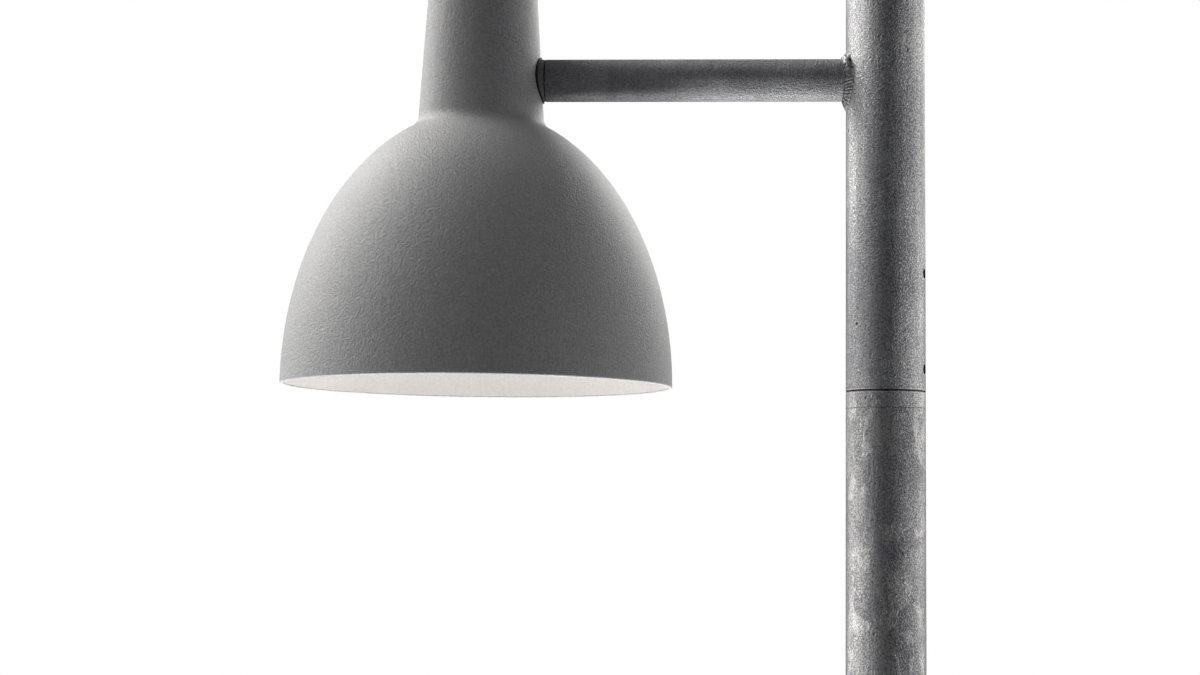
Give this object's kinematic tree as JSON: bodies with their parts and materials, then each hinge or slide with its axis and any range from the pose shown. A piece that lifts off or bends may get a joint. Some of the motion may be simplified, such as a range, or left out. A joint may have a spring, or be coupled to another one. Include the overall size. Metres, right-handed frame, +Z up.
{
  "type": "street lamp post",
  "caption": "Round galvanised post on a flange plate, with a turning head that carries a short side arm and a bell-shaped downlight shade.",
  "frame": {"origin": "on the ground, on the post's axis, at the underside of the flange plate", "axes": "+Z up along the post; the arm and shade point along -X; the service door faces -Y"},
  "size_m": [0.582, 0.3, 3],
  "materials": {
    "galvanised_post": "hot-dip galvanised, dull spangle",
    "galvanised_head": "hot-dip galvanised, fine vertical streaks",
    "galvanised_arm": "dark weathered zinc",
    "door_zinc": "hot-dip galvanised",
    "shade_coating": "fine textured grey powder coat outside, white inside",
    "white_enamel": "white stove enamel",
    "turned_steel": "turned, zinc plated",
    "raw_steel": "zinc plated",
    "fastener_zinc": "bright zinc plated",
    "set_screw_black": "blackened alloy steel",
    "saddle_alloy": "dull cast",
    "black_rubber": "matt",
    "cable_sheath": "matt black sheath",
    "box_plastic": "moulded grey",
    "gland_plastic": "moulded black",
    "terminal_plastic": "moulded cream",
    "brass_parts": "plain brass",
    "nickel_parts": "nickel plated",
    "porcelain": "white glazed porcelain",
    "bulb_plastic": "white moulding",
    "bulb_insulator": "black glass insulator",
    "board_white": "white solder mask",
    "opal": "opal, satin"
  },
  "bodies": {
    "post": {"base_plate": "galvanised_post", "base_weld": "galvanised_post", "lower_post": "galvanised_post", "spigot": "turned_steel", "door_lugs": "raw_steel", "mounting_bar": "raw_steel", "fuse_box_body": "box_plastic", "fuse_box_cover": "box_plastic", "box_screws": "fastener_zinc", "cover_screw": "fastener_zinc", "cable_glands": "gland_plastic", "terminal_block": "terminal_plastic", "terminal_inserts": "brass_parts", "terminal_screws": "fastener_zinc", "fuse_holder": "terminal_plastic", "fuse_clips": "brass_parts", "fuse_body": "porcelain", "fuse_caps": "nickel_parts", "earth_stud": "fastener_zinc", "earth_washer": "fastener_zinc", "earth_nut": "fastener_zinc", "post_cable": "cable_sheath"},
    "door": {"service_door": "door_zinc"},
    "door_screw_1": {"door_screw_lower": "fastener_zinc"},
    "door_screw_2": {"door_screw_upper": "fastener_zinc"},
    "head": {"head_tube": "galvanised_head", "post_cap": "galvanised_head", "arm_tube": "galvanised_arm", "arm_weld": "galvanised_arm", "arm_plug": "turned_steel", "nipple": "turned_steel", "nipple_washer": "fastener_zinc", "lock_nut": "fastener_zinc", "arm_seal": "black_rubber", "head_cable": "cable_sheath"},
    "set_screw_1": {"set_screw_lower": "set_screw_black"},
    "set_screw_2": {"set_screw_upper": "set_screw_black"},
    "lamp": {"shade": "shade_coating", "neck_gasket": "black_rubber", "saddle_adaptor": "saddle_alloy", "holder_plate": "white_enamel", "plate_screws": "fastener_zinc", "plate_grommet": "black_rubber", "holder_screws": "fastener_zinc", "lamp_holder": "porcelain", "socket_shell": "brass_parts", "socket_contact": "brass_parts", "lamp_cable": "cable_sheath"},
    "bulb": {"bulb_cap": "nickel_parts", "bulb_contact": "bulb_insulator", "bulb_housing": "bulb_plastic", "bulb_board": "board_white", "bulb_globe": "opal"}
  },
  "joints": [
    {"name": "head_swivel", "type": "hinge", "parent": "post", "child": "head", "pos_m": [0, 0, 2.6383], "axis": [0, 0, 1], "range_deg": [-175, 175]},
    {"name": "lamp_tilt", "type": "hinge", "parent": "head", "child": "lamp", "pos_m": [-0.312, 0, 2.8784], "axis": [1, 0, 0], "range_deg": [-30, 30]},
    {"name": "door_lift_off", "type": "slide", "parent": "post", "child": "door", "axis": [0, -1, 0], "range_m": [0, 0.06]},
    {"name": "door_screw_lower_turn", "type": "hinge", "parent": "door", "child": "door_screw_1", "pos_m": [0, -0.0297, 0.437], "axis": [0, -1, 0], "continuous": true},
    {"name": "door_screw_upper_turn", "type": "hinge", "parent": "door", "child": "door_screw_2", "pos_m": [0, -0.0297, 0.603], "axis": [0, -1, 0], "continuous": true},
    {"name": "set_screw_lower_travel", "type": "slide", "parent": "head", "child": "set_screw_1", "axis": [0.9455, -0.3256, 0], "range_m": [0, 0.006]},
    {"name": "set_screw_upper_travel", "type": "slide", "parent": "head", "child": "set_screw_2", "axis": [0.9455, -0.3256, 0], "range_m": [0, 0.006]},
    {"name": "bulb_travel", "type": "slide", "parent": "lamp", "child": "bulb", "axis": [0, 0, -1], "range_m": [0, 0.03]}
  ]
}
